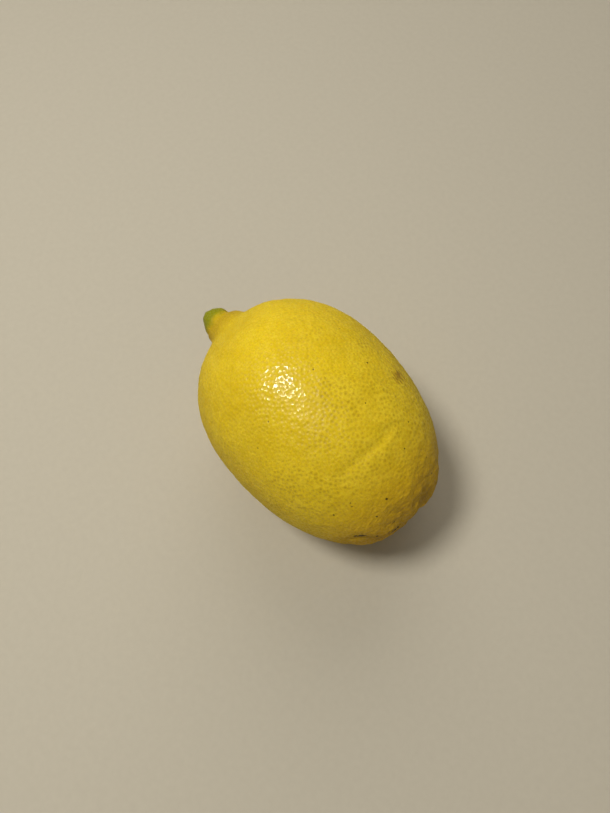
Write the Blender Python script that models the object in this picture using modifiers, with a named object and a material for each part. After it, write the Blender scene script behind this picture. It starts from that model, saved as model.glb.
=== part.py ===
"""A whole lemon, one piece of fruit lying on its side.

The long axis runs along X, with the nipple towards -X and the stem end towards +X.
The fruit rests on a small flat spot at z = 0, and its nipple end is a little raised.
The origin is on the surface that it rests on, under the middle of its bounding box.
"""
from math import atan2, cos, exp, hypot, pi, radians, sin, tau

import bmesh
import bpy
from mathutils import Matrix, Vector

# Driving dimensions, in metres. Distances along the axis start at the widest girth.
GIRTH_RADIUS = 0.0335        # half the diameter at the widest girth
STEM_REACH = 0.0510          # from there to the stem end
SHOULDER_REACH = 0.0390      # from there to where the shoulder alone would close
STEM_FULLNESS = 2.22         # 2 is an ellipse, and more is a blunter end
SHOULDER_FULLNESS = 2.06

NIPPLE_REACH = 0.0487        # from the widest girth to the nipple's tip
NIPPLE_BASE = 0.0387         # from the widest girth to the nipple's base
NIPPLE_RADIUS = 0.0077       # at that base
NIPPLE_TAPER = 0.45          # below 1 gives a blunt, round tip
NECK_TIGHTNESS = 7.0         # more gives a tighter hollow round the nipple
NIPPLE_LEAN = 0.0029         # how far the tip stands off the axis, towards -Y
LEAN_START = 0.0355          # where along the axis it starts to lean

CUP_DEPTH = 0.0016           # the shallow cup that the stalk grew in
CUP_RADIUS = 0.0055
BUTTON_HEIGHT = 0.0009       # the stalk's dry scar, in the middle of the cup
BUTTON_RADIUS = 0.0030

RIB_COUNT = 8                # low ribs that spread out from the stem end
RIB_HEIGHT = 0.00045
RIB_CREST = 0.0150           # distance from the axis at which a rib is highest
RIB_FADE = 0.0070
OVALNESS = 0.006             # share of its radius by which the girth is out of round

REST_TILT = radians(4.8)     # how far the nipple end rises when the fruit lies down
FLAT_DEPTH = 0.0005          # how much the flat spot takes off the round side

CUP_RINGS = 9                # fine rings across the stem end, out to the edge of the cup
CUP_EDGE = 0.0100
BODY_RINGS = 42              # from there to the nipple's tip
SEGMENTS = 48
MERGE_DISTANCE = 0.00001

SKIN_YELLOW = (0.66, 0.47, 0.035, 1.0)
SKIN_ROUGHNESS = 0.4


def girth(along):
    """The radius at a place along the axis, which is positive towards the nipple."""
    if along < 0:
        return GIRTH_RADIUS * (1 - (-along / STEM_REACH) ** STEM_FULLNESS) ** (1 / STEM_FULLNESS)
    closing = min(along / SHOULDER_REACH, 1.0) ** SHOULDER_FULLNESS
    shoulder = GIRTH_RADIUS * (1 - closing) ** (1 / SHOULDER_FULLNESS)
    to_tip = (NIPPLE_REACH - along) / (NIPPLE_REACH - NIPPLE_BASE)
    nipple = NIPPLE_RADIUS * to_tip ** NIPPLE_TAPER
    return (shoulder ** NECK_TIGHTNESS + nipple ** NECK_TIGHTNESS) ** (1 / NECK_TIGHTNESS)


def stem_cup(radius):
    """How deep the stem end lies at a distance from the axis."""
    cup = CUP_DEPTH * exp(-(radius / CUP_RADIUS) ** 2)
    button = BUTTON_HEIGHT * exp(-(radius / BUTTON_RADIUS) ** 4)
    return cup - button


def stem_side(radius):
    """The place along the axis where the stem half has this radius."""
    return -STEM_REACH * (1 - (radius / GIRTH_RADIUS) ** STEM_FULLNESS) ** (1 / STEM_FULLNESS)


def make_profile():
    """Half the outline, stood on its nipple: from the stem end down to the tip."""
    points = []
    for ring in range(CUP_RINGS):
        radius = CUP_EDGE * ring / CUP_RINGS
        points.append((radius, 0.0, -stem_side(radius) - stem_cup(radius)))
    start = stem_side(CUP_EDGE)
    middle = (NIPPLE_REACH + start) / 2
    half_length = (NIPPLE_REACH - start) / 2
    for ring in range(BODY_RINGS):
        along = middle - half_length * cos(pi * ring / BODY_RINGS)
        radius = girth(along)
        sink = stem_cup(radius) if along < 0 else 0.0
        points.append((radius, 0.0, -along - sink))
    points.append((0.0, 0.0, -NIPPLE_REACH))
    mesh = bpy.data.meshes.new("lemon_profile")
    mesh.from_pydata(points, [(step, step + 1) for step in range(len(points) - 1)], [])
    return bpy.data.objects.new("lemon_profile", mesh)


def turn_profile(profile, collection):
    """The profile turned once round Z."""
    collection.objects.link(profile)
    turn = profile.modifiers.new("turn", "SCREW")
    turn.axis = "Z"
    turn.angle = tau
    turn.steps = SEGMENTS
    turn.render_steps = SEGMENTS
    turn.use_merge_vertices = True
    turn.merge_threshold = MERGE_DISTANCE
    evaluated = profile.evaluated_get(bpy.context.evaluated_depsgraph_get())
    mesh = bpy.data.meshes.new_from_object(evaluated)
    bpy.data.objects.remove(profile)
    return mesh


def grow(shape):
    """Give the turned form its oval girth, its ribs and its leaning nipple."""
    for vert in shape.verts:
        radius = hypot(vert.co.x, vert.co.y)
        around = atan2(vert.co.y, vert.co.x)
        oval = 1 + OVALNESS * cos(2 * around)
        vert.co.x *= oval
        vert.co.y *= oval
        if vert.co.z > 0:
            crest = exp(-((radius - RIB_CREST) / RIB_FADE) ** 2)
            vert.co.z += RIB_HEIGHT * crest * cos(RIB_COUNT * around + sin(around))
        lean = (-vert.co.z - LEAN_START) / (NIPPLE_REACH - LEAN_START)
        vert.co.y -= NIPPLE_LEAN * max(lean, 0.0)


def lay_down(shape):
    """Turn the fruit on its side, cut the flat spot at z = 0 and centre it over the origin."""
    bmesh.ops.rotate(shape, verts=shape.verts, matrix=Matrix.Rotation(pi / 2 + REST_TILT, 3, "Y"))
    lowest = min(vert.co.z for vert in shape.verts)
    bmesh.ops.translate(shape, verts=shape.verts, vec=(0, 0, -lowest - FLAT_DEPTH))
    everything = shape.verts[:] + shape.edges[:] + shape.faces[:]
    cut = bmesh.ops.bisect_plane(
        shape, geom=everything, dist=MERGE_DISTANCE, plane_no=(0, 0, 1), clear_inner=True
    )["geom_cut"]
    for vert in (item for item in cut if isinstance(item, bmesh.types.BMVert)):
        vert.co.z = 0.0
    rim = [item for item in cut if isinstance(item, bmesh.types.BMEdge)]
    bmesh.ops.edgeloop_fill(shape, edges=rim)
    bmesh.ops.recalc_face_normals(shape, faces=shape.faces)
    low = Vector(min(vert.co[axis] for vert in shape.verts) for axis in range(3))
    high = Vector(max(vert.co[axis] for vert in shape.verts) for axis in range(3))
    middle = (low + high) / 2
    bmesh.ops.translate(shape, verts=shape.verts, vec=(-middle.x, -middle.y, 0))


def make_skin_material():
    material = bpy.data.materials.new("lemon_peel")
    material.use_nodes = True
    shader = material.node_tree.nodes["Principled BSDF"]
    shader.inputs["Base Color"].default_value = SKIN_YELLOW
    shader.inputs["Roughness"].default_value = SKIN_ROUGHNESS
    shader.inputs["Metallic"].default_value = 0.0
    return material


def make_lemon(collection):
    mesh = turn_profile(make_profile(), collection)
    mesh.name = "lemon"
    shape = bmesh.new()
    shape.from_mesh(mesh)
    grow(shape)
    lay_down(shape)
    shape.to_mesh(mesh)
    shape.free()
    mesh.materials.append(make_skin_material())
    mesh.shade_smooth()
    collection.objects.link(bpy.data.objects.new("lemon", mesh))


def main():
    for item in list(bpy.data.objects):
        bpy.data.objects.remove(item)
    collection = bpy.data.collections.new("lemon")
    bpy.context.scene.collection.children.link(collection)
    make_lemon(collection)


main()
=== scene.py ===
from math import cos, radians, sin

import bpy
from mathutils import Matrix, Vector


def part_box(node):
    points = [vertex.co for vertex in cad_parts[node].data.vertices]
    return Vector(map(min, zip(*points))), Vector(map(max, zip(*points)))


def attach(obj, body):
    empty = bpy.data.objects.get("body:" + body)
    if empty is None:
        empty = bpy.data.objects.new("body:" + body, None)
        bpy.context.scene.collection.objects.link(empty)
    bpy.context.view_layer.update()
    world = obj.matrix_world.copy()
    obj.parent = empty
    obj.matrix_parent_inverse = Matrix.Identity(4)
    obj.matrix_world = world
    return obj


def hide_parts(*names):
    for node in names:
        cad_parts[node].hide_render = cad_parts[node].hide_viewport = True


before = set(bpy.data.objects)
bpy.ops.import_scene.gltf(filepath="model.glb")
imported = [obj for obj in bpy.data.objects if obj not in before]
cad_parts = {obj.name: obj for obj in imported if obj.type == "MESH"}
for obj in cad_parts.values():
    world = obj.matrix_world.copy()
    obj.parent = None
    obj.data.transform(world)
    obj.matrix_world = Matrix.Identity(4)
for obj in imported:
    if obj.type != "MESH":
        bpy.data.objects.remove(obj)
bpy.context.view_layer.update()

fruit_low, fruit_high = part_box("lemon")
fruit_middle = (Vector(fruit_low) + Vector(fruit_high)) / 2


# ---- The studio -------------------------------------------------------------------------
# A wide, round, pale floor of matt board that the fruit lies on, with a plain light room
# round it. One lamp nearly overhead makes the glints on the peel, and large soft lamps fill
# the sides. The camera looks down on the fruit from its stem end's side.
FLOOR_REACH = 0.85
FLOOR_SIDES = 128
FLOOR_PALE = (0.54, 0.50, 0.42, 1.0)
FLOOR_GREY = (0.50, 0.46, 0.385, 1.0)
FLOOR_ROUGHNESS = 0.85
BOARD_GRAIN = 420.0

ROOM_COLOUR = (1.0, 0.95, 0.82, 1.0)
ROOM_STRENGTH = 0.12
ROOM_SHOWN = 0.62

# Each lamp's place from the middle of the fruit, its width, its power in watts, its colour,
# and whether it shows in the gloss of the peel.
WARM_WHITE = (1.0, 0.96, 0.88)
LAMPS = {
    "glint_lamp": ((-0.21, -0.19, 0.69), 0.2, 3.6, (1.0, 0.97, 0.88), True),
    "over_soft_lamp": ((-0.15, -0.30, 1.10), 0.8, 0.9, WARM_WHITE, True),
    "back_soft_lamp": ((-1.05, 0.95, 0.95), 1.6, 11.0, WARM_WHITE, False),
    "left_soft_lamp": ((-1.10, -0.70, 1.10), 1.2, 0.3, (1.0, 0.82, 0.42), False),
    "front_soft_lamp": ((1.10, -0.40, 0.90), 1.2, 0.9, (1.0, 0.80, 0.38), False),
}

CAMERA_AZIMUTH = radians(47.65)
CAMERA_ELEVATION = radians(70)
CAMERA_DISTANCE = 0.2074
CAMERA_AIM = fruit_middle + Vector((-0.0014, 0, 0))
CAMERA_LENS = 36.06
CAMERA_SENSOR = 36.0
CAMERA_NEAR = 0.01


def make_floor_material():
    material = bpy.data.materials.new("pale_board")
    material.use_nodes = True
    tree = material.node_tree
    shader = tree.nodes["Principled BSDF"]
    place = tree.nodes.new("ShaderNodeTexCoord")
    grain = tree.nodes.new("ShaderNodeTexNoise")
    grain.inputs["Scale"].default_value = BOARD_GRAIN
    tone = tree.nodes.new("ShaderNodeValToRGB")
    tone.color_ramp.elements[0].color = FLOOR_GREY
    tone.color_ramp.elements[1].color = FLOOR_PALE
    tree.links.new(place.outputs["Object"], grain.inputs["Vector"])
    tree.links.new(grain.outputs[0], tone.inputs[0])
    tree.links.new(tone.outputs["Color"], shader.inputs["Base Color"])
    shader.inputs["Roughness"].default_value = FLOOR_ROUGHNESS
    return material


def make_floor():
    corners = []
    for side in range(FLOOR_SIDES):
        turn = radians(360) * side / FLOOR_SIDES
        corners.append((FLOOR_REACH * cos(turn), FLOOR_REACH * sin(turn), 0.0))
    mesh = bpy.data.meshes.new("floor")
    mesh.from_pydata(corners, [], [range(FLOOR_SIDES)])
    mesh.materials.append(make_floor_material())
    floor = bpy.data.objects.new("floor", mesh)
    floor.visible_glossy = False
    bpy.context.scene.collection.objects.link(floor)
    return floor


def light_room():
    """The room lights the fruit dimly, and shows as a pale wall behind the floor."""
    room = bpy.data.worlds.new("light_room")
    room.use_nodes = True
    tree = room.node_tree
    background = tree.nodes["Background"]
    background.inputs["Color"].default_value = ROOM_COLOUR
    seen = tree.nodes.new("ShaderNodeLightPath")
    strength = tree.nodes.new("ShaderNodeMapRange")
    strength.inputs["To Min"].default_value = ROOM_STRENGTH
    strength.inputs["To Max"].default_value = ROOM_SHOWN
    tree.links.new(seen.outputs["Is Camera Ray"], strength.inputs["Value"])
    tree.links.new(strength.outputs["Result"], background.inputs["Strength"])
    bpy.context.scene.world = room


def hang_lamp(name, place, width, power, colour, mirrored):
    """A round lamp, aimed at the middle of the fruit."""
    light = bpy.data.lights.new(name, "AREA")
    light.shape = "DISK"
    light.size = width
    light.energy = power
    light.color = colour
    lamp = bpy.data.objects.new(name, light)
    lamp.location = fruit_middle + Vector(place)
    lamp.rotation_euler = Vector(place).to_track_quat("Z", "Y").to_euler()
    lamp.visible_glossy = mirrored
    bpy.context.scene.collection.objects.link(lamp)


def set_up_camera():
    camera = bpy.data.objects.new("camera", bpy.data.cameras.new("camera"))
    camera.data.sensor_fit = "HORIZONTAL"
    camera.data.sensor_width = CAMERA_SENSOR
    camera.data.lens = CAMERA_LENS
    camera.data.clip_start = CAMERA_NEAR
    back = Vector((
        sin(CAMERA_AZIMUTH) * cos(CAMERA_ELEVATION),
        -cos(CAMERA_AZIMUTH) * cos(CAMERA_ELEVATION),
        sin(CAMERA_ELEVATION),
    ))
    camera.location = CAMERA_AIM + back * CAMERA_DISTANCE
    camera.rotation_euler = (radians(90) - CAMERA_ELEVATION, 0, CAMERA_AZIMUTH)
    bpy.context.scene.collection.objects.link(camera)
    bpy.context.scene.camera = camera


bpy.context.scene.view_settings.view_transform = "Standard"
make_floor()
light_room()
for lamp_name, lamp_settings in LAMPS.items():
    hang_lamp(lamp_name, *lamp_settings)
set_up_camera()


# ---- The lemon --------------------------------------------------------------------------
# One whole fruit, grown in one piece: a yellow peel full of oil glands, with a nipple at
# the blossom end and a dry stalk scar in a shallow cup at the stem end. It isn't fixed to
# anything. It lies on its side, on a small spot that its own weight has pressed flat.

# Sizes of the form, in metres. Places along the axis are measured from the widest girth,
# and they are positive towards the nipple. Places round it are measured from the top.
FORM = {
    "Girth radius": 0.0335,
    "Stem reach": 0.0510,
    "Stem fullness": 2.22,
    "Shoulder reach": 0.0390,
    "Shoulder fullness": 2.06,
    "Nipple reach": 0.0487,
    "Nipple base": 0.0387,
    "Nipple radius": 0.0077,
    "Nipple taper": 0.45,
    "Neck tightness": 7.0,
    "Nipple lean": 0.0029,
    "Lean start": 0.0355,
    "Cup depth": 0.0024,
    "Cup radius": 0.0055,
    "Button height": 0.0009,
    "Button radius": 0.0030,
    "Rib count": 8.0,
    "Rib height": 0.00045,
    "Rib crest": 0.0150,
    "Rib fade": 0.0070,
    "Ovalness": 0.006,
    "Rest tilt": radians(4.8),
    "Flat depth": 0.0005,
    "Swell height": 0.00045,
    "Hammer height": 0.00020,
    "Pebble height": 0.00016,
    "Crinkle height": 0.00034,
    "Valley depth": 0.00034,
    "Nipple bumps": 0.00050,
    "Lump height": 0.00080,
    "Furrow depth": 0.00040,
    "Scar depth": 0.0006,
    "Near cut": 0.0025,
    "Near flare": 0.60,
    "Side growth": 0.0007,
    "Left flare": 0.06,
    "Right hollow": 0.0016,
}
AROUND_CELLS = 119          # vertices across one end, and across each side
LENGTH_CELLS = 149          # vertices along a side
PROFILE_POINTS = 1500


class Quantity:
    """A number that a node tree works out, so that a rule of growth reads as arithmetic."""

    def __init__(self, tree, socket):
        self.tree = tree
        self.socket = socket

    def __add__(self, other):
        return number(self.tree, "ADD", self, other)

    def __sub__(self, other):
        return number(self.tree, "SUBTRACT", self, other)

    def __rsub__(self, other):
        return number(self.tree, "SUBTRACT", other, self)

    def __mul__(self, other):
        return number(self.tree, "MULTIPLY", self, other)

    def __truediv__(self, other):
        return number(self.tree, "DIVIDE", self, other)

    def __rtruediv__(self, other):
        return number(self.tree, "DIVIDE", other, self)

    def __pow__(self, other):
        return number(self.tree, "POWER", self, other)

    def __neg__(self):
        return number(self.tree, "MULTIPLY", self, -1.0)

    __radd__ = __add__
    __rmul__ = __mul__


def wire(tree, value, socket):
    """Feeds a socket with another node's result, or with a plain value."""
    if isinstance(value, Quantity):
        tree.links.new(value.socket, socket)
    else:
        socket.default_value = value


def add(tree, kind, inputs=None, **settings):
    """A node with its settings made and its inputs fed, by name or by number."""
    node = tree.nodes.new(kind)
    for setting, value in settings.items():
        setattr(node, setting, value)
    for name, value in (inputs or {}).items():
        wire(tree, value, node.inputs[name])
    return node


def result(node, name=0):
    return Quantity(node.id_data, node.outputs[name])


def number(tree, operation, *values):
    return result(add(tree, "ShaderNodeMath", dict(enumerate(values)), operation=operation))


def distance(tree, first, second):
    node = add(tree, "ShaderNodeVectorMath", {0: first, 1: second}, operation="DISTANCE")
    return result(node, "Value")


def stretch(tree, place, times):
    node = add(tree, "ShaderNodeVectorMath", {0: place, "Scale": times}, operation="SCALE")
    return result(node, "Vector")


def unit(tree, place):
    node = add(tree, "ShaderNodeVectorMath", {0: place}, operation="NORMALIZE")
    return result(node, "Vector")


def join(tree, x, y, z):
    return result(add(tree, "ShaderNodeCombineXYZ", {"X": x, "Y": y, "Z": z}))


def split(tree, place):
    node = add(tree, "ShaderNodeSeparateXYZ", {"Vector": place})
    return [result(node, axis) for axis in "XYZ"]


def bell(value):
    """1 where the value is 0, falling away smoothly on both sides."""
    return number(value.tree, "EXPONENT", -(value * value))


def rise(value, start, end):
    """From 0 at the start to 1 at the end, smoothly, and level beyond them."""
    ranged = {"Value": value, "From Min": start, "From Max": end}
    return result(add(value.tree, "ShaderNodeMapRange", ranged, interpolation_type="SMOOTHSTEP"))


def fall(value, start, end):
    """From 1 at the start to 0 at the end, smoothly, and level beyond them."""
    return 1.0 - rise(value, start, end)


def cloud(tree, place, size, detail=1.0, distortion=0.0):
    """Soft random patches of this size in metres, about 0 and mostly between -0.5 and 0.5."""
    inputs = {"Vector": place, "Scale": 1 / size, "Detail": detail, "Distortion": distortion}
    return (result(add(tree, "ShaderNodeTexNoise", inputs)) - 0.5) * 2.0


def start_tree(name, sizes):
    """A Geometry Nodes tree with these sizes as named inputs; also its input and output."""
    tree = bpy.data.node_groups.new(name, "GeometryNodeTree")
    tree.interface.new_socket("Mesh", in_out="INPUT", socket_type="NodeSocketGeometry")
    tree.interface.new_socket("Mesh", in_out="OUTPUT", socket_type="NodeSocketGeometry")
    kinds = {int: "NodeSocketInt", float: "NodeSocketFloat"}
    for label, value in sizes.items():
        kind = kinds.get(type(value), "NodeSocketMaterial")
        tree.interface.new_socket(label, in_out="INPUT", socket_type=kind)
    given = tree.nodes.new("NodeGroupInput")
    sized = {label: result(given, label) for label in sizes}
    return tree, result(given, "Mesh"), sized, tree.nodes.new("NodeGroupOutput")


def run_tree(tree, sizes, mesh):
    """Puts a mesh through a tree and gives back the plain mesh that comes out."""
    carrier = bpy.data.objects.new("carrier", mesh)
    bpy.context.scene.collection.objects.link(carrier)
    modifier = carrier.modifiers.new(tree.name, "NODES")
    modifier.node_group = tree
    for item in tree.interface.items_tree:
        if item.in_out == "INPUT" and item.name in sizes:
            modifier[item.identifier] = sizes[item.name]
    evaluated = carrier.evaluated_get(bpy.context.evaluated_depsgraph_get())
    made = bpy.data.meshes.new_from_object(evaluated)
    carrier.modifiers.clear()
    bpy.data.objects.remove(carrier)
    return made


def along_axis(tree, fruit):
    """Where a point of the peel is along the axis."""
    return -split(tree, fruit)[2]


def off_axis(tree, fruit):
    """How far a point of the peel is from the axis."""
    x, y = split(tree, fruit)[:2]
    return number(tree, "SQRT", x * x + y * y)


def round_axis(tree, fruit):
    """Where a point of the peel is round the axis, from the top."""
    x, y = split(tree, fruit)[:2]
    return number(tree, "ARCTAN2", y, -x)


# The nipple's own outline comes in gently, well inside the shoulder.
NIPPLE_FADE = (0.027, 0.036)


def outline_radius(along, size, cut_back=0.0, flare=0.0):
    """How thick the fruit is at a place along its axis."""
    tree = along.tree
    forward = number(tree, "MAXIMUM", along, 0.0)
    backward = number(tree, "MAXIMUM", -along, 0.0)
    stem_closing = (backward / size["Stem reach"]) ** size["Stem fullness"]
    stem = (1.0 - stem_closing) ** (1.0 / size["Stem fullness"])
    reach = size["Shoulder reach"] - cut_back
    closing = number(tree, "MINIMUM", forward / reach, 1.0) ** size["Shoulder fullness"]
    shoulder = size["Girth radius"] * (1.0 - closing) ** (1.0 / size["Shoulder fullness"])
    to_tip = (size["Nipple reach"] - forward) / (size["Nipple reach"] - size["Nipple base"])
    nipple = size["Nipple radius"] * to_tip ** size["Nipple taper"] + flare
    nipple = number(tree, "MAXIMUM", nipple, 0.0) * rise(along, *NIPPLE_FADE)
    tightness = size["Neck tightness"]
    return stem * (shoulder ** tightness + nipple ** tightness) ** (1.0 / tightness)


# The sides of the neck that grew unevenly: degrees round it from the top, and how narrow.
NEAR_SIDE = (-14, 4.0)
LEFT_SIDE = (-104, 3.0)
RIGHT_SIDE = (76, 4.0)
NEAR_FOOT_END = 0.0415
LEFT_FOOT_END = 0.0450
HOLLOW_PLACE = 0.0430
HOLLOW_WIDTH = 0.0015


def one_side(around, side):
    """1 on one side of the fruit, falling away to 0 on the opposite side."""
    middle, narrowness = side
    return (0.5 + 0.5 * number(around.tree, "COSINE", around - radians(middle))) ** narrowness


def uneven_neck(along, around, size):
    """How far the shoulder is cut back, and how far the nipple's foot spreads, round the neck."""
    tree = along.tree
    near = one_side(around, NEAR_SIDE)
    left = one_side(around, LEFT_SIDE)
    right = one_side(around, RIGHT_SIDE)
    cut_back = size["Near cut"] * near - size["Side growth"] * (left + right)
    near_foot = size["Near flare"] * near * number(tree, "MAXIMUM", NEAR_FOOT_END - along, 0.0)
    left_foot = size["Left flare"] * left * number(tree, "MAXIMUM", LEFT_FOOT_END - along, 0.0)
    hollow = size["Right hollow"] * right * bell((along - HOLLOW_PLACE) / HOLLOW_WIDTH)
    return cut_back, near_foot + left_foot - hollow


def draw_outline(tree, size):
    """Half the outline as a curve in X and Z, from the stem end up at +Z to the nipple's tip."""
    line = add(tree, "GeometryNodeCurvePrimitiveLine", {"End": (1.0, 0.0, 0.0)})
    points = add(tree, "GeometryNodeResampleCurve", {"Curve": result(line), "Count": PROFILE_POINTS})
    step = result(add(tree, "GeometryNodeInputIndex")) / float(PROFILE_POINTS - 1)
    middle = (size["Nipple reach"] - size["Stem reach"]) * 0.5
    half_length = (size["Nipple reach"] + size["Stem reach"]) * 0.5
    along = middle - half_length * number(tree, "COSINE", step * radians(180))
    radius = outline_radius(along, size)
    cup = size["Cup depth"] * bell(radius / size["Cup radius"])
    button_edge = radius / size["Button radius"]
    button = size["Button height"] * bell(button_edge * button_edge)
    sink = (cup - button) * number(tree, "LESS_THAN", along, 0.0)
    place = join(tree, radius, 0.0, -along - sink)
    return result(add(tree, "GeometryNodeSetPosition", {"Geometry": result(points), "Position": place}))


def block_to_ball(tree):
    """The direction from the middle that each point of the block's grid is sent to."""
    evened = []
    for side in split(tree, result(add(tree, "GeometryNodeInputPosition"))):
        evened.append(number(tree, "TANGENT", side * radians(45)))
    return unit(tree, join(tree, *evened))


def turn_outline(tree, size):
    """Where each point of the block's grid lies on the outline turned round the axis."""
    side_x, side_y, up = split(tree, block_to_ball(tree))
    from_stem = number(tree, "ARCCOSINE", up) / radians(180)
    outline = add(
        tree, "GeometryNodeSampleCurve", {"Curves": draw_outline(tree, size), "Factor": from_stem},
        mode="FACTOR", use_all_curves=True,
    )
    radius, _, height = split(tree, result(outline, "Position"))
    across_x, across_y = split(tree, unit(tree, join(tree, side_x, side_y, 0.0)))[:2]
    around = number(tree, "ARCTAN2", across_y, -across_x)
    cut_back, flare = uneven_neck(-height, around, size)
    ahead = number(tree, "GREATER_THAN", -height, 0.0)
    radius = radius * (1.0 - ahead) + outline_radius(-height, size, cut_back, flare) * ahead
    return join(tree, radius * across_x, radius * across_y, height)


# The ribs come in between the widest girth and this far behind it.
RIB_FADE_IN = 0.004


def grow_ends(tree, place, size):
    """Give the turned form its oval girth, its ribs at the stem end and its leaning nipple."""
    x, y, z = split(tree, place)
    radius = number(tree, "SQRT", x * x + y * y)
    around = number(tree, "ARCTAN2", y, x)
    oval = 1.0 + size["Ovalness"] * number(tree, "COSINE", around * 2.0)
    crest = bell((radius - size["Rib crest"]) / size["Rib fade"])
    wave = number(tree, "COSINE", size["Rib count"] * around + number(tree, "SINE", around))
    rib = size["Rib height"] * crest * wave * rise(z, 0.0, RIB_FADE_IN)
    lean = (-z - size["Lean start"]) / (size["Nipple reach"] - size["Lean start"])
    lean_by = size["Nipple lean"] * number(tree, "MAXIMUM", lean, 0.0)
    return join(tree, x * oval, y * oval - lean_by, z + rib)


def lay_down(tree, mesh, size):
    """Turn the fruit on its side, centre it, and sink it by the depth of the flat spot."""
    turned = add(
        tree, "ShaderNodeVectorRotate",
        {"Vector": result(add(tree, "GeometryNodeInputPosition")), "Axis": (0.0, 1.0, 0.0),
         "Angle": size["Rest tilt"] + radians(90)},
        rotation_type="AXIS_ANGLE",
    )
    laid = result(add(tree, "GeometryNodeSetPosition", {"Geometry": mesh, "Position": result(turned)}))
    box = add(tree, "GeometryNodeBoundBox", {"Geometry": laid})
    low_x, low_y, low_z = split(tree, result(box, "Min"))
    high_x, high_y = split(tree, result(box, "Max"))[:2]
    shift = join(tree, (low_x + high_x) * -0.5, (low_y + high_y) * -0.5, -low_z - size["Flat depth"])
    return result(add(tree, "GeometryNodeSetPosition", {"Geometry": laid, "Offset": shift}))


# The furrow curls out from the stalk scar: where it is at one distance from the axis, how
# fast it turns as it goes out, and where it starts and ends.
FURROW_MIDDLE = 0.0196
FURROW_TURN = radians(-68)
FURROW_CURL = radians(1926)
FURROW_WIDTH = 0.0009
FURROW_WANDER = 0.0012
FURROW_WANDER_SIZE = 0.005
FURROW_START = (0.006, 0.009)
FURROW_END = (0.020, 0.024)
FURROW_SIDE = (-0.036, -0.030)


def furrow(tree, fruit):
    """1 along the furrow that runs out from the stalk scar, and 0 elsewhere."""
    from_axis = off_axis(tree, fruit)
    turn = round_axis(tree, fruit) - FURROW_TURN + (from_axis - FURROW_MIDDLE) * FURROW_CURL
    aside = turn * from_axis + cloud(tree, fruit, FURROW_WANDER_SIZE) * FURROW_WANDER
    reach = rise(from_axis, *FURROW_START) * fall(from_axis, *FURROW_END)
    return bell(aside / FURROW_WIDTH) * reach * fall(along_axis(tree, fruit), *FURROW_SIDE)


# A shallow valley across the top of the stem half, between these places round it.
VALLEY_PLACE = -0.0268
VALLEY_WIDTH = 0.0017
VALLEY_WANDER = 0.0022
VALLEY_WANDER_SIZE = 0.011
VALLEY_LEFT = (radians(-34), radians(-18))
VALLEY_RIGHT = (radians(8), radians(28))


def valley(tree, fruit):
    """1 along the bottom of the valley, and 0 elsewhere."""
    around = round_axis(tree, fruit)
    wander = cloud(tree, fruit, VALLEY_WANDER_SIZE) * VALLEY_WANDER
    line = bell((along_axis(tree, fruit) - VALLEY_PLACE + wander) / VALLEY_WIDTH)
    return line * rise(around, *VALLEY_LEFT) * fall(around, *VALLEY_RIGHT)


# Where the dry scar of the flower is on the nipple's tip, off the axis towards +Y.
STYLE_SCAR_PLACE = 0.0012
STYLE_DENT_WIDTH = 0.0009
NIPPLE_FOOT = (0.0385, 0.0405)


def from_style_scar(tree, fruit):
    """How far a point of the peel is from the scar on the nipple's tip."""
    x, y = split(tree, fruit)[:2]
    aside = y - STYLE_SCAR_PLACE
    return number(tree, "SQRT", x * x + aside * aside)


# How wide the swells, dimples, lumps and wrinkles of the peel are, and how far some of
# them are twisted out of round.
SWELL_SIZE = 0.024
HAMMER_SIZE = 0.0062
PEBBLE_SIZE = 0.0024
DIMPLE_DETAIL = 1.0
DIMPLE_TWIST = 0.3
LUMP_SIZE = 0.0060
CRINKLE_SIZE = 0.0026
CRINKLE_DETAIL = 2.0
CRINKLE_TWIST = 0.4
CRINKLE_SQUEEZE = 1.8       # how much closer together the wrinkles are along the axis
NIPPLE_BUMP_SIZE = 0.0016
LUMPY_END = (-0.050, -0.036)


def growth_marks(tree, fruit, size):
    """How high the peel stands over the plain form, from the way that the fruit grew."""
    x, y, z = split(tree, fruit)
    along = along_axis(tree, fruit)
    swell = size["Swell height"] * cloud(tree, fruit, SWELL_SIZE)
    hammer = size["Hammer height"] * cloud(tree, fruit, HAMMER_SIZE, DIMPLE_DETAIL, DIMPLE_TWIST)
    pebble = size["Pebble height"] * cloud(tree, fruit, PEBBLE_SIZE, DIMPLE_DETAIL, DIMPLE_TWIST)
    stem_end = fall(along, *LUMPY_END)
    lumps = size["Lump height"] * cloud(tree, fruit, LUMP_SIZE) * stem_end
    squeezed = join(tree, x, y, z * CRINKLE_SQUEEZE)
    crinkle = cloud(tree, squeezed, CRINKLE_SIZE, CRINKLE_DETAIL, CRINKLE_TWIST)
    crinkle = size["Crinkle height"] * crinkle * stem_end
    dips = size["Valley depth"] * valley(tree, fruit) + size["Furrow depth"] * furrow(tree, fruit)
    on_nipple = rise(along, *NIPPLE_FOOT)
    bumps = size["Nipple bumps"] * cloud(tree, fruit, NIPPLE_BUMP_SIZE) * on_nipple
    scar = size["Scar depth"] * bell(from_style_scar(tree, fruit) / STYLE_DENT_WIDTH) * on_nipple
    return swell + hammer + pebble + lumps + crinkle - dips + bumps - scar


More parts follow.
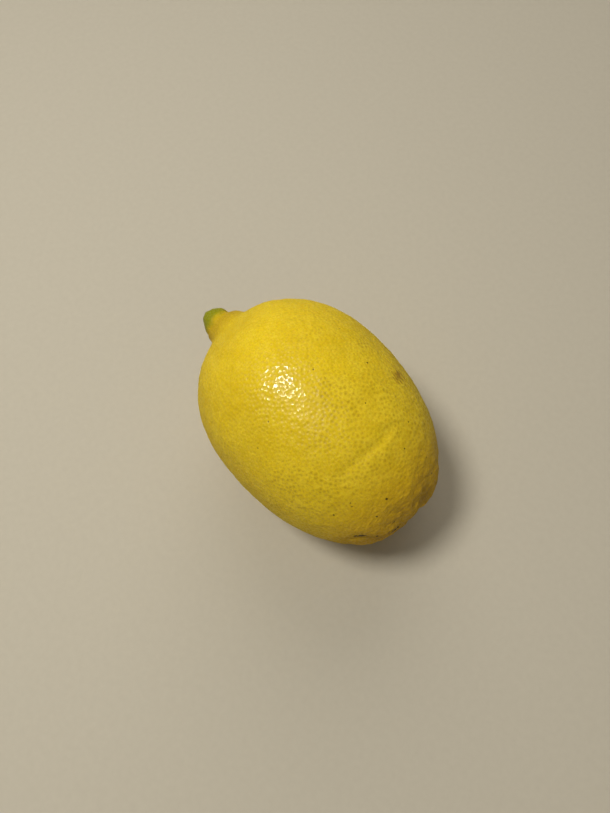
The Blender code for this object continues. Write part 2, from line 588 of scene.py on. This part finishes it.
def build_form_tree():
    """Grows the whole fruit from a block's grid, and keeps each point's place on the plain form."""
    tree, _, size, end = start_tree("lemon_form", FORM)
    block = add(
        tree, "GeometryNodeMeshCube",
        {"Size": (2.0, 2.0, 2.0), "Vertices X": AROUND_CELLS, "Vertices Y": AROUND_CELLS,
         "Vertices Z": LENGTH_CELLS},
    )
    turned = add(
        tree, "GeometryNodeSetPosition",
        {"Geometry": result(block), "Position": turn_outline(tree, size)},
    )
    kept = add(
        tree, "GeometryNodeStoreNamedAttribute",
        {"Geometry": result(turned), "Name": "fruit",
         "Value": result(add(tree, "GeometryNodeInputPosition"))},
        data_type="FLOAT_VECTOR", domain="POINT",
    )
    fruit = result(add(tree, "GeometryNodeInputNamedAttribute", {"Name": "fruit"}, data_type="FLOAT_VECTOR"))
    grown = add(
        tree, "GeometryNodeSetPosition",
        {"Geometry": result(kept), "Position": grow_ends(tree, fruit, size)},
    )
    laid = lay_down(tree, result(grown), size)
    outward = result(add(tree, "GeometryNodeInputNormal"))
    marked = add(
        tree, "GeometryNodeSetPosition",
        {"Geometry": laid, "Offset": stretch(tree, outward, growth_marks(tree, fruit, size))},
    )
    whole = result(add(tree, "GeometryNodeRealizeInstances", {"Geometry": result(marked)}))
    wire(tree, whole, end.inputs["Mesh"])
    return tree


# The oil glands: how far apart they are, the pit over each, and how vigorous the least is.
GLANDS = {
    "Gland gap": 0.00112,
    "Pit depth": 0.000050,
    "Pit width": 0.00055,
    "Least vigour": 0.25,
    "Seed": 7,
}
GLANDS_TRIED = 4.0          # for each square of the gap, so that only the gap limits them


def build_gland_tree():
    """Scatters the oil glands evenly over the peel and sinks a round pit over each."""
    tree, peel, size, end = start_tree("oil_glands", {**GLANDS, "Peel material": None})
    gap = size["Gland gap"]
    glands = result(add(
        tree, "GeometryNodeDistributePointsOnFaces",
        {"Mesh": peel, "Distance Min": gap, "Density Max": GLANDS_TRIED / (gap * gap),
         "Seed": size["Seed"]},
        distribute_method="POISSON",
    ))
    here = result(add(tree, "GeometryNodeInputPosition"))
    nearest = result(add(tree, "GeometryNodeSampleNearest", {"Geometry": glands, "Sample Position": here}))
    gland = result(add(
        tree, "GeometryNodeSampleIndex", {"Geometry": glands, "Value": here, "Index": nearest},
        data_type="FLOAT_VECTOR", domain="POINT",
    ))
    vigour = result(add(
        tree, "FunctionNodeRandomValue",
        {"Min": size["Least vigour"], "Max": 1.0, "ID": nearest, "Seed": size["Seed"]},
        data_type="FLOAT",
    ), 1)
    placed = add(
        tree, "GeometryNodeStoreNamedAttribute",
        {"Geometry": peel, "Name": "gland", "Value": gland}, data_type="FLOAT_VECTOR", domain="FACE",
    )
    ranked = add(
        tree, "GeometryNodeStoreNamedAttribute",
        {"Geometry": result(placed), "Name": "gland_vigour", "Value": vigour},
        data_type="FLOAT", domain="FACE",
    )
    pit = bell(distance(tree, here, gland) / size["Pit width"]) * vigour
    outward = result(add(tree, "GeometryNodeInputNormal"))
    pitted = add(
        tree, "GeometryNodeSetPosition",
        {"Geometry": result(ranked), "Offset": stretch(tree, outward, -size["Pit depth"] * pit)},
    )
    x, y, z = split(tree, result(add(tree, "GeometryNodeInputPosition")))
    floor_level = number(tree, "MAXIMUM", z, 0.0)
    rested = add(
        tree, "GeometryNodeSetPosition",
        {"Geometry": result(pitted), "Position": join(tree, x, y, floor_level)},
    )
    smooth = add(tree, "GeometryNodeSetShadeSmooth", {"Geometry": result(rested)})
    whole = add(tree, "GeometryNodeRealizeInstances", {"Geometry": result(smooth)})
    skinned = add(
        tree, "GeometryNodeSetMaterial",
        {"Geometry": result(whole), "Material": size["Peel material"]},
    )
    wire(tree, result(skinned), end.inputs["Mesh"])
    return tree


class Skin:
    """What the shader knows about the point of the peel that it colours."""

    def __init__(self, tree):
        self.tree = tree
        here = result(add(tree, "ShaderNodeTexCoord"), "Object")
        gland = result(add(tree, "ShaderNodeAttribute", attribute_name="gland"), "Vector")
        self.gland_distance = distance(tree, here, gland)
        self.vigour = result(add(tree, "ShaderNodeAttribute", attribute_name="gland_vigour"), "Fac")
        self.fruit = result(add(tree, "ShaderNodeAttribute", attribute_name="fruit"), "Vector")
        self.along = along_axis(tree, self.fruit)
        self.off_axis = off_axis(tree, self.fruit)
        self.around = round_axis(tree, self.fruit)

    def cloud(self, size, detail=2.0, distortion=0.0):
        return cloud(self.tree, self.fruit, size, detail, distortion)

    def streaks(self, size, squeeze, distortion=0.0):
        """Random patches that are this much closer together along the axis than round it."""
        x, y, z = split(self.tree, self.fruit)
        return cloud(self.tree, join(self.tree, x, y, z * squeeze), size, 2.0, distortion)

    def window(self, place, length, turn, spread):
        """1 at a place of the peel, falling away along the axis and round it."""
        beside = (self.around - radians(turn)) / radians(spread)
        return bell((self.along - place) / length) * bell(beside)


# A mixing node numbers its sockets for plain numbers first, and then those for colours.
MIX_SHARE, MIX_FIRST, MIX_SECOND = 0, 6, 7
MIXED_COLOUR = 2


def mix(tree, share, first, second):
    """One colour going over to another by a share from 0 to 1."""
    node = tree.nodes.new("ShaderNodeMix")
    node.data_type = "RGBA"
    wire(tree, share, node.inputs[MIX_SHARE])
    wire(tree, first, node.inputs[MIX_FIRST])
    wire(tree, second, node.inputs[MIX_SECOND])
    return result(node, MIXED_COLOUR)


RIPE_YELLOW = (0.82, 0.60, 0.014, 1.0)
PALE_YELLOW = (0.87, 0.665, 0.045, 1.0)
DEEP_YELLOW = (0.70, 0.49, 0.007, 1.0)
GRAIN_GOLD = (0.62, 0.42, 0.005, 1.0)
PIT_OLIVE_AND_SHADE = (0.40, 0.26, 0.002, 1.0)

PATCH_SIZE = 0.016
PATCH_FADE = (-0.45, 0.45)
MOTTLE_SIZE = 0.0035
MOTTLE_FADE = (-0.4, 0.5)
MOTTLE_SHARE = 0.5
GRAIN_SIZE = 0.00055
GRAIN_FADE = (-0.5, 0.4)
GRAIN_SHARE = 0.80
RIDGE_REACH = (0.0004, 0.0009)      # painted light on the crests half-way between two glands
RIDGE_LIGHT_SHARE = 0.12
RIDGE_LIGHT_BY_PORES = 0.25
# The olive in the pits is partly the glands' own darker tone and partly painted shade in the hollows.
PIT_REACH = 0.00032
PIT_REACH_BY_VIGOUR = 0.00022
PIT_SHARE = 0.68

# The pits show most on the stem half, in patches, and close up again at the stem end.
PORE_PATCH_SIZE = 0.012
PORES_BY_PLACE = 16.0
PORES_OPEN = (-0.15, 0.60)
LEAST_OPEN = 0.06
PORES_CLOSE = (-0.047, -0.024)


def ripe_yellow(skin):
    """Patchy yellow peel, with painted light on the crests between the glands, and olive in their pits that
    is partly the glands' own tone and partly painted shade.
    """
    tree = skin.tree
    patches = rise(skin.cloud(PATCH_SIZE), *PATCH_FADE)
    colour = mix(tree, patches, DEEP_YELLOW, RIPE_YELLOW)
    mottle = rise(skin.cloud(MOTTLE_SIZE), *MOTTLE_FADE)
    colour = mix(tree, mottle * MOTTLE_SHARE, colour, PALE_YELLOW)
    grain = fall(skin.cloud(GRAIN_SIZE), *GRAIN_FADE)
    colour = mix(tree, grain * GRAIN_SHARE, colour, GRAIN_GOLD)
    open_pores = rise(skin.cloud(PORE_PATCH_SIZE, 1.0) - skin.along * PORES_BY_PLACE, *PORES_OPEN)
    open_pores = open_pores * (1.0 - LEAST_OPEN) + LEAST_OPEN
    open_pores = open_pores * rise(skin.along, *PORES_CLOSE)
    # Painted light: the crests between the glands are made paler.
    ridge_light = rise(skin.gland_distance, *RIDGE_REACH)
    ridge_light_share = RIDGE_LIGHT_SHARE + open_pores * RIDGE_LIGHT_BY_PORES
    colour = mix(tree, ridge_light * ridge_light_share, colour, PALE_YELLOW)
    # Olive in the pits: partly the glands' own tone, partly painted shade.
    pit_reach = PIT_REACH + skin.vigour * PIT_REACH_BY_VIGOUR
    pit = bell(skin.gland_distance / pit_reach) * skin.vigour
    return mix(tree, pit * open_pores * PIT_SHARE, colour, PIT_OLIVE_AND_SHADE)


TIP_GREEN = (0.19, 0.225, 0.006, 1.0)
NECK_GOLD_AND_SHADE = (0.48, 0.31, 0.006, 1.0)
STEM_OCHRE_SHADE = (0.60, 0.30, 0.003, 1.0)
RUST_BROWN = (0.40, 0.225, 0.015, 1.0)
SCAR_BROWN = (0.16, 0.095, 0.030, 1.0)

STEM_FADE = (-0.049, -0.026)
STEM_SHADE_SHARE = 0.55
RUST_FADE = (-0.048, -0.038)
RUST_SIZE = 0.0042
RUST_DETAIL = 3.0
RUST_PATCHES = (-0.25, 0.45)
RUST_SHARE = 0.5
NECK_PLACE = 0.0405
NECK_WIDTH = 0.0042
NECK_SHARE = 0.75
GREEN_EDGE = (0.0416, 0.0456)
GREEN_SLANT = -0.18
GREEN_WANDER = 0.0020
GREEN_WANDER_SIZE = 0.0028
GREEN_SHARE = 0.85
STYLE_SCAR_WIDTH = 0.0007
STYLE_SCAR_SHARE = 0.7


def colour_the_ends(skin, colour):
    """Painted shade in warm ochre, and rust, at the stem end; a deeper gold in the neck's hollow, partly the
    peel's own tone and partly painted shade; and green on the nipple.
    """
    tree = skin.tree
    # Painted shade: a darker, warmer ochre towards the stem end.
    colour = mix(tree, fall(skin.along, *STEM_FADE) * STEM_SHADE_SHARE, colour, STEM_OCHRE_SHADE)
    rusty = rise(skin.cloud(RUST_SIZE, RUST_DETAIL), *RUST_PATCHES) * fall(skin.along, *RUST_FADE)
    colour = mix(tree, rusty * RUST_SHARE, colour, RUST_BROWN)
    # A deeper gold in the neck's hollow: partly the peel's own tone, partly painted shade.
    neck_tone_and_shade = bell((skin.along - NECK_PLACE) / NECK_WIDTH)
    colour = mix(tree, neck_tone_and_shade * NECK_SHARE, colour, NECK_GOLD_AND_SHADE)
    slant = split(tree, skin.fruit)[1] * GREEN_SLANT
    green_edge = skin.along + slant + skin.cloud(GREEN_WANDER_SIZE) * GREEN_WANDER
    colour = mix(tree, rise(green_edge, *GREEN_EDGE) * GREEN_SHARE, colour, TIP_GREEN)
    style_scar = bell(from_style_scar(tree, skin.fruit) / STYLE_SCAR_WIDTH)
    style_scar = style_scar * rise(skin.along, *NIPPLE_FOOT)
    return mix(tree, style_scar * STYLE_SCAR_SHARE, colour, SCAR_BROWN)


GREYER_BAND_COLOUR = (0.50, 0.33, 0.075, 1.0)
SCUFF_TAN = (0.30, 0.15, 0.012, 1.0)

# A greyer band, and two rubbed places that healed tan: metres along the axis and their length, degrees round
# it and their spread.
GREYER_BAND = (-0.0400, 0.0075, 53, 17)
TAN_PATCH = (-0.0155, 0.0046, 45, 9)
CORKY_PATCH = (-0.0485, 0.0015, -46, 16)
GREYER_BAND_RAGGED_SIZE = 0.0012
GREYER_BAND_RAGGEDNESS = 0.6
GREYER_BAND_EDGE = (0.45, 1.05)
GREYER_BAND_SHARE = 0.4
STREAK_SIZE = 0.0009
STREAK_SQUEEZE = 0.35
STREAK_EDGE = (0.65, 1.10)
STREAK_SHARE = 0.8


def grey_band_and_tan_streaks(skin, colour):
    """A darker, greyer band along one side towards the stem end, and tan streaks where the peel has healed.
    """
    tree = skin.tree
    # The band: the peel made darker and greyer along one side towards the stem end.
    ragged = skin.cloud(GREYER_BAND_RAGGED_SIZE) * GREYER_BAND_RAGGEDNESS
    greyer = rise(ragged + skin.window(*GREYER_BAND), *GREYER_BAND_EDGE)
    colour = mix(tree, greyer * GREYER_BAND_SHARE, colour, GREYER_BAND_COLOUR)
    healed = skin.window(*TAN_PATCH) + skin.window(*CORKY_PATCH)
    streaked = rise(skin.streaks(STREAK_SIZE, STREAK_SQUEEZE) + healed, *STREAK_EDGE)
    return mix(tree, streaked * STREAK_SHARE, colour, SCUFF_TAN)


SCAR_TAN = (0.36, 0.25, 0.090, 1.0)

# The stalk's scar is a dry star with five points, in the middle of the cup.
STAR_POINTS = 5.0
STAR_TURN = 0.6
STAR_HEIGHT = 0.0005
STAR_WANDER = 0.0007
STAR_WANDER_SIZE = 0.0012
STAR_EDGE = (0.0026, 0.0034)
STAR_SHARE = 0.9
STAR_RIM = 0.0008
STAR_RIM_SHARE = 0.8
DRY_SIZE = 0.0008
DRY_FADE = (-0.4, 0.4)
STEM_HALF = (-0.040, -0.030)


def stalk_scar_edge(skin):
    """How far a point is from the axis, let in and out so that a round edge becomes a star."""
    star = number(skin.tree, "COSINE", skin.around * STAR_POINTS + STAR_TURN) * STAR_HEIGHT
    return skin.off_axis - star + skin.cloud(STAR_WANDER_SIZE) * STAR_WANDER


def stalk_scar(skin):
    """1 on the stalk's scar and 0 elsewhere."""
    return fall(stalk_scar_edge(skin), *STAR_EDGE) * fall(skin.along, *STEM_HALF)


def colour_stalk_scar(skin, colour):
    tree = skin.tree
    dry_tone = mix(tree, rise(skin.cloud(DRY_SIZE), *DRY_FADE), SCAR_BROWN, SCAR_TAN)
    colour = mix(tree, stalk_scar(skin) * STAR_SHARE, colour, dry_tone)
    rim = bell(stalk_scar_edge(skin) / STAR_RIM) * fall(skin.along, *STEM_HALF)
    return mix(tree, rim * STAR_RIM_SHARE, colour, SCAR_BROWN)


SPECK_BROWN = (0.045, 0.016, 0.001, 1.0)
TEAR_BROWN = (0.022, 0.006, 0.001, 1.0)

# The larger dark specks: millimetres along the axis, degrees round it from the top, and
# their radius in millimetres.
SPECKS = (
    (-7, 29, 0.28), (-16, 11, 0.20), (-28, 28, 0.24), (-33, 15, 0.24), (-40, -16, 0.36),
    (-33, -49, 0.30), (-42, -32, 0.28), (-44, 37, 0.34), (-47, -29, 0.30), (-46, -55, 0.36),
)
SPECK_SHARE = 0.95
SPECK_RAGGEDNESS = 0.00022

# The few glands that are more vigorous than this have dried up and gone brown.
DEAD_GLAND_VIGOUR = 0.9975
DEAD_GLAND_REACH = (0.00012, 0.00030)
DEAD_GLAND_SHARE = 0.8

# Two short tears beside the stalk scar: where each starts and ends, and its half width, in
# the same measures as the specks.
TEARS = (((-42, -65), (-44, -58), 0.70), ((-48.4, -50), (-49.2, -34), 0.62))
TEAR_SPOTS = 5
TEAR_END = 0.4              # how wide its ends are, as a share of its middle
TEAR_SHARE = 0.97
TEAR_RAGGEDNESS = 0.00100

RAGGED_SIZE = 0.0007
SPOT_EDGE = (0.7, 1.4)      # where a spot starts to fade and ends, as shares of its radius
MILLIMETRE = 0.001


def place_on_peel(along, turn):
    """A point of the plain form, in metres, from millimetres along the axis and degrees round it."""
    reach = FORM["Stem reach"] if along < 0 else FORM["Shoulder reach"]
    fullness = FORM["Stem fullness"] if along < 0 else FORM["Shoulder fullness"]
    closing = (abs(along) * MILLIMETRE / reach) ** fullness
    radius = FORM["Girth radius"] * (1 - closing) ** (1 / fullness)
    return -radius * cos(radians(turn)), radius * sin(radians(turn)), -along * MILLIMETRE


def tear_spots():
    """Each tear as a row of spots that touch, widest in the middle of the row."""
    row = []
    for (start_along, start_turn), (end_along, end_turn), half_width in TEARS:
        for spot in range(TEAR_SPOTS):
            share = (spot + 0.5) / TEAR_SPOTS
            along = start_along + (end_along - start_along) * share
            turn = start_turn + (end_turn - start_turn) * share
            width = TEAR_END + (1 - TEAR_END) * sin(radians(180) * share)
            row.append((along, turn, half_width * width))
    return row


def spots(skin, places, raggedness):
    """1 on small ragged spots of the peel and 0 elsewhere."""
    ragged = skin.cloud(RAGGED_SIZE, 1.0) * raggedness
    shown = 0.0
    for along, turn, radius in places:
        away = distance(skin.tree, skin.fruit, place_on_peel(along, turn)) + ragged
        spot = fall(away, *(radius * share * MILLIMETRE for share in SPOT_EDGE))
        shown = number(skin.tree, "MAXIMUM", shown, spot)
    return shown


def speckle(skin, colour):
    """Dark specks, dead glands, and the two tears."""
    tree = skin.tree
    dead = fall(skin.gland_distance, *DEAD_GLAND_REACH)
    dead = dead * number(tree, "GREATER_THAN", skin.vigour, DEAD_GLAND_VIGOUR)
    specks = spots(skin, SPECKS, SPECK_RAGGEDNESS)
    speckled = number(tree, "MAXIMUM", specks, dead * DEAD_GLAND_SHARE)
    colour = mix(tree, speckled * SPECK_SHARE, colour, SPECK_BROWN)
    torn = spots(skin, tear_spots(), TEAR_RAGGEDNESS)
    return mix(tree, torn * TEAR_SHARE, colour, TEAR_BROWN)


# Only the crests between the pits are waxy enough to glint, and less so seen edge-on.
PIT_ROUGHNESS = 0.46
CREST_GLOSS = 0.38
CREST_REACH = (0.00048, 0.00062)
EDGE_ROUGHNESS = 0.50
STEM_ROUGHNESS = 0.15
SCAR_ROUGHNESS = 0.3
GLOSS_PATCHES = 0.03
GLOSS_PATCH_SIZE = 0.005


def peel_roughness(skin):
    crest = rise(skin.gland_distance, *CREST_REACH)
    roughness = PIT_ROUGHNESS - crest * CREST_GLOSS + skin.cloud(GLOSS_PATCH_SIZE) * GLOSS_PATCHES
    roughness = roughness + stalk_scar(skin) * SCAR_ROUGHNESS
    edge_on = result(add(skin.tree, "ShaderNodeLayerWeight"), "Facing")
    roughness = roughness + edge_on * edge_on * EDGE_ROUGHNESS
    return roughness + fall(skin.along, *STEM_FADE) * STEM_ROUGHNESS


# The fine relief of the peel, in metres: pits over the glands, and wrinkles that ring the
# stem end.
FINE_HEIGHT = 0.00002
FINE_SIZE = 0.0014
FINE_DETAIL = 3.0
FINE_TWIST = 0.4
DIP_DEPTH = 0.00008
DIP_REACH = 0.00040
DIP_REACH_BY_VIGOUR = 0.00014
DIP_ROUNDNESS = 1.8
LEAST_DIP = 0.45
RELIEF_AT_STEM = 0.80
RELIEF_GAIN = 0.6           # how much more relief there is beyond this fade
RELIEF_FADE = (-0.045, 0.020)
WRINKLE_HEIGHT = 0.00016
WRINKLE_SIZE = 0.0022
WRINKLE_SQUEEZE = 2.6
WRINKLE_TWIST = 0.5
WRINKLE_FADE = (-0.046, -0.028)


def peel_relief(skin):
    fine = skin.cloud(FINE_SIZE, FINE_DETAIL, FINE_TWIST) * FINE_HEIGHT
    reach = DIP_REACH + skin.vigour * DIP_REACH_BY_VIGOUR
    dip = number(skin.tree, "EXPONENT", -((skin.gland_distance / reach) ** DIP_ROUNDNESS))
    dip = dip * (LEAST_DIP + skin.vigour * (1.0 - LEAST_DIP))
    relief = RELIEF_AT_STEM + rise(skin.along, *RELIEF_FADE) * RELIEF_GAIN
    wrinkles = skin.streaks(WRINKLE_SIZE, WRINKLE_SQUEEZE, WRINKLE_TWIST)
    wrinkles = wrinkles * fall(skin.along, *WRINKLE_FADE)
    return (fine - dip * DIP_DEPTH) * relief + wrinkles * WRINKLE_HEIGHT


PEEL_SPECULAR = 0.42
PEEL_SCATTER = 0.06
PEEL_SCATTER_TINT = (1.0, 0.6, 0.1)
PEEL_SCATTER_DEPTH = 0.002


def make_peel_material():
    material = bpy.data.materials.new("lemon_peel")
    material.use_nodes = True
    tree = material.node_tree
    shader = tree.nodes["Principled BSDF"]
    skin = Skin(tree)
    colour = ripe_yellow(skin)
    colour = colour_the_ends(skin, colour)
    colour = grey_band_and_tan_streaks(skin, colour)
    colour = colour_stalk_scar(skin, colour)
    colour = speckle(skin, colour)
    wire(tree, colour, shader.inputs["Base Color"])
    wire(tree, peel_roughness(skin), shader.inputs["Roughness"])
    shader.inputs["Specular IOR Level"].default_value = PEEL_SPECULAR
    shader.inputs["Subsurface Weight"].default_value = PEEL_SCATTER
    shader.inputs["Subsurface Radius"].default_value = PEEL_SCATTER_TINT
    shader.inputs["Subsurface Scale"].default_value = PEEL_SCATTER_DEPTH
    bump = add(tree, "ShaderNodeBump", {"Height": peel_relief(skin), "Distance": 1.0, "Strength": 1.0})
    wire(tree, result(bump), shader.inputs["Normal"])
    return material


def make_lemon():
    plain = run_tree(build_form_tree(), FORM, bpy.data.meshes.new("seed"))
    peel_material = make_peel_material()
    mesh = run_tree(build_gland_tree(), {**GLANDS, "Peel material": peel_material}, plain)
    mesh.name = "lemon_peel"
    lemon = bpy.data.objects.new("lemon_peel", mesh)
    bpy.context.scene.collection.objects.link(lemon)
    return lemon


lemon = make_lemon()
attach(lemon, "root")
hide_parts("lemon")
